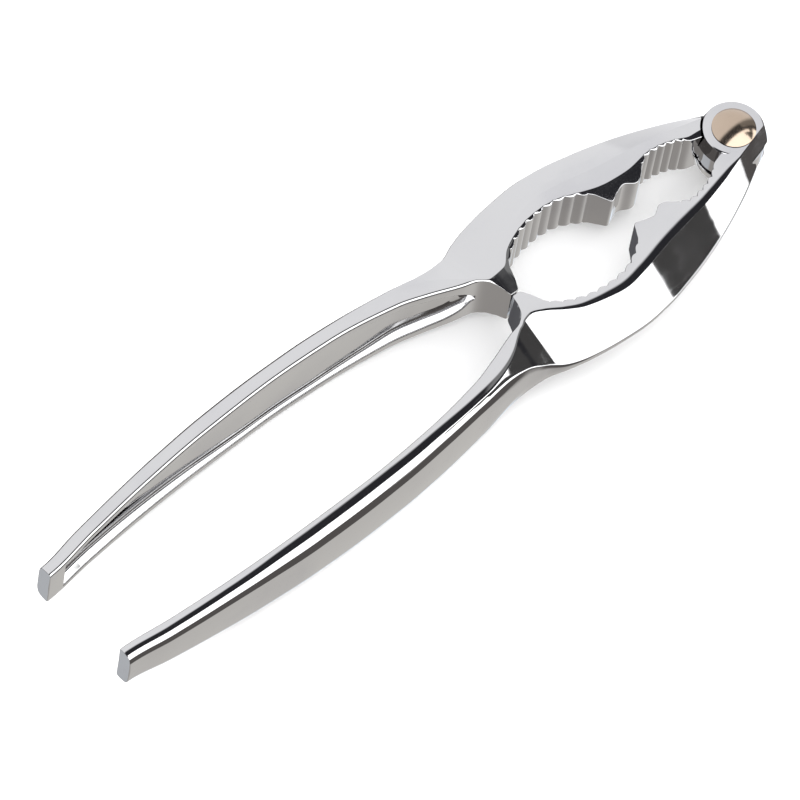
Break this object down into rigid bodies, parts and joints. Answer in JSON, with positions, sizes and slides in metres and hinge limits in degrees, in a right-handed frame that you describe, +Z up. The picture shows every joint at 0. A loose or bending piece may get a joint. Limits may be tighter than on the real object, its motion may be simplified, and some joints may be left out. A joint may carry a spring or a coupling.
{
  "type": "nutcracker",
  "caption": "Slim cast lever nutcracker that opens on a riveted fork-and-tongue hinge, with serrated cavities for large and small nuts.",
  "frame": {"origin": "bottom centre of the closed tool's box, lying flat", "axes": "+X along the length towards the hinge, +Y towards the tongue arm, +Z up along the hinge axis, out of the rivet's head"},
  "size_m": [0.155, 0.0348, 0.0155],
  "materials": {
    "arm_chrome": "polished plating on a casting",
    "rivet_steel": "polished domed head"
  },
  "bodies": {
    "fork_side": {"fork_arm": "arm_chrome", "hinge_rivet": "rivet_steel"},
    "tongue_side": {"tongue_arm": "arm_chrome"}
  },
  "joints": [
    {"name": "arm_hinge", "type": "hinge", "parent": "fork_side", "child": "tongue_side", "pos_m": [0.0713, 0, 0.00775], "axis": [0, 0, -1], "range_deg": [0, 175]}
  ]
}
